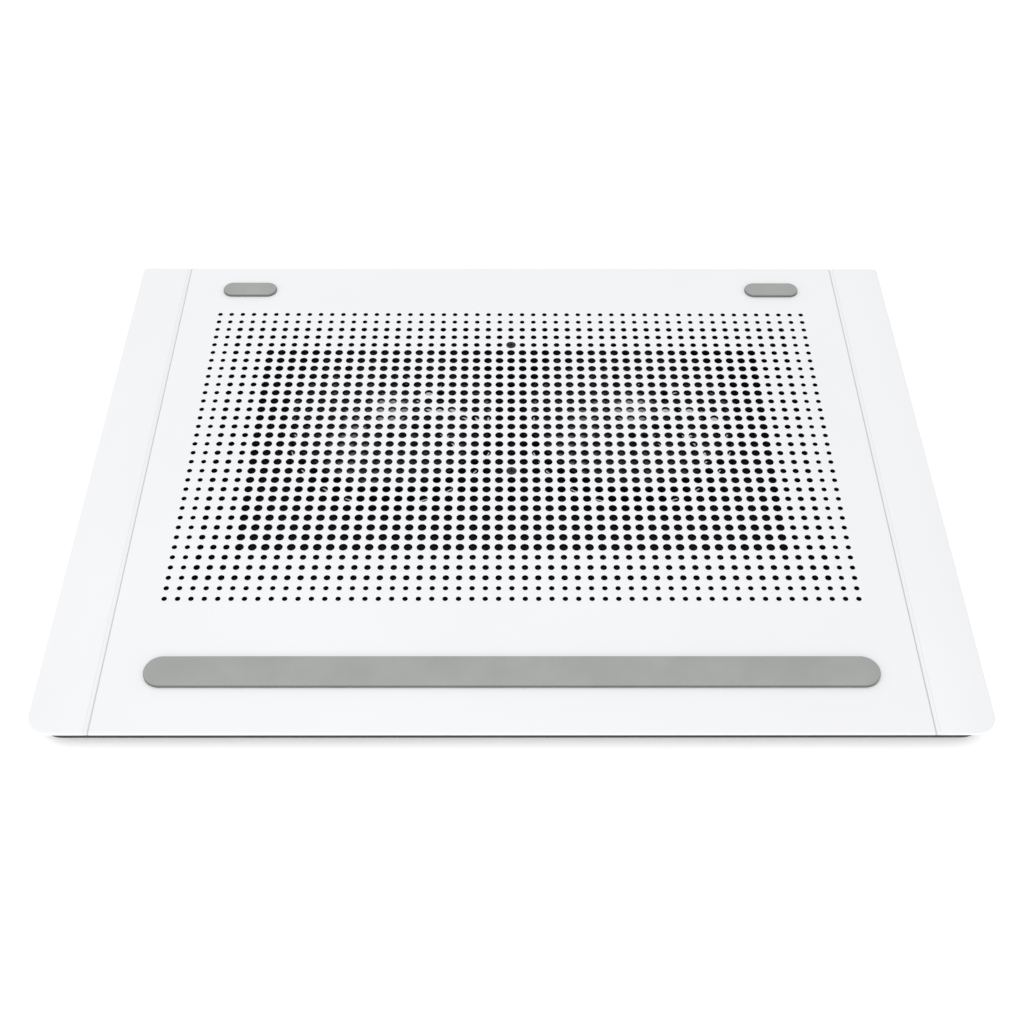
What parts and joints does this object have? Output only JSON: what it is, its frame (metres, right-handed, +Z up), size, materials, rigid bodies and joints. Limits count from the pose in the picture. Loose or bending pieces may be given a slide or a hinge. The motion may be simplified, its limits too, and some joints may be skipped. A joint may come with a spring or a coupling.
{
  "type": "laptop cooling pad",
  "caption": "Wedge-shaped laptop cooling pad with a perforated white metal top plate, grey rubber grips and fans in a black plastic shell.",
  "frame": {"origin": "on the resting plane under the middle of the pad", "axes": "+X to the right along the long side, +Y to the raised rear edge, +Z up"},
  "size_m": [0.38, 0.2802, 0.0383],
  "materials": {
    "plate_metal": "fine satin white paint on aluminium sheet",
    "grip_rubber": "matt grey silicone rubber",
    "black_screw": "black oxide",
    "steel": "nickel-plated",
    "shell_plastic": "fine textured black plastic",
    "foot_rubber": "matt black rubber",
    "board_green": "solder-masked board",
    "chip_black": "moulded",
    "panel_plastic": "gloss black",
    "socket_metal": "bright nickel",
    "sensor_blue": "moulded",
    "dial_plastic": "knurled black plastic",
    "light_plastic": "clear light pipe",
    "plug_white": "nylon",
    "grille_plastic": "moulded black plastic",
    "fan_plastic": "moulded black plastic",
    "bearing_brass": "sintered",
    "core_steel": "laminated",
    "coil_copper": "enamelled copper wire",
    "magnet_black": "rubber-bonded ferrite",
    "impeller_plastic": "smooth dark grey plastic",
    "label_white": "plain white foil label",
    "lead_rubber": "insulated wire"
  },
  "bodies": {
    "housing": {"top_plate": "plate_metal", "front_grip_strip": "grip_rubber", "rear_grip_pads": "grip_rubber", "centre_screws": "black_screw", "plate_standoffs": "steel", "bottom_shell": "shell_plastic", "case_screws": "black_screw", "front_feet": "foot_rubber", "rear_feet": "foot_rubber", "intake_grille_left": "grille_plastic", "intake_grille_right": "grille_plastic", "fan_frame_left": "fan_plastic", "fan_frame_right": "fan_plastic", "fan_screws": "black_screw", "fan_bearing_left": "bearing_brass", "fan_bearing_right": "bearing_brass", "fan_circuit_left": "board_green", "fan_circuit_right": "board_green", "stator_core_left": "core_steel", "stator_core_right": "core_steel", "stator_coils_left": "coil_copper", "stator_coils_right": "coil_copper", "control_board": "board_green", "board_chips": "chip_black", "board_screws": "steel", "control_panel": "panel_plastic", "usb_output_socket": "socket_metal", "usb_input_socket": "socket_metal", "dial_sensor": "sensor_blue", "switch_body": "socket_metal", "power_light": "light_plastic", "fan_lead_left": "lead_rubber", "fan_lead_right": "lead_rubber", "lead_plugs": "plug_white"},
    "fan_rotor_left": {"impeller_left": "impeller_plastic", "hub_label_left": "label_white", "rotor_magnet_left": "magnet_black", "fan_shaft_left": "steel", "shaft_clip_left": "steel"},
    "fan_rotor_right": {"impeller_right": "impeller_plastic", "hub_label_right": "label_white", "rotor_magnet_right": "magnet_black", "fan_shaft_right": "steel", "shaft_clip_right": "steel"},
    "dial": {"speed_dial": "dial_plastic", "dial_spindle": "steel"},
    "switch_slider": {"power_switch": "dial_plastic"}
  },
  "joints": [
    {"name": "fan_spin_left", "type": "hinge", "parent": "housing", "child": "fan_rotor_left", "pos_m": [-0.057, 0.04059, 0.01844], "axis": [0, -0.1045, 0.9945], "continuous": true},
    {"name": "fan_spin_right", "type": "hinge", "parent": "housing", "child": "fan_rotor_right", "pos_m": [0.057, 0.04059, 0.01844], "axis": [0, -0.1045, 0.9945], "continuous": true},
    {"name": "speed_dial_turn", "type": "hinge", "parent": "housing", "child": "dial", "pos_m": [0.133, 0.13114, 0.0167], "axis": [0, 0, 1], "range_deg": [-135, 135]},
    {"name": "power_switch_slide", "type": "slide", "parent": "housing", "child": "switch_slider", "axis": [1, 0, 0], "range_m": [0, 0.003]}
  ]
}
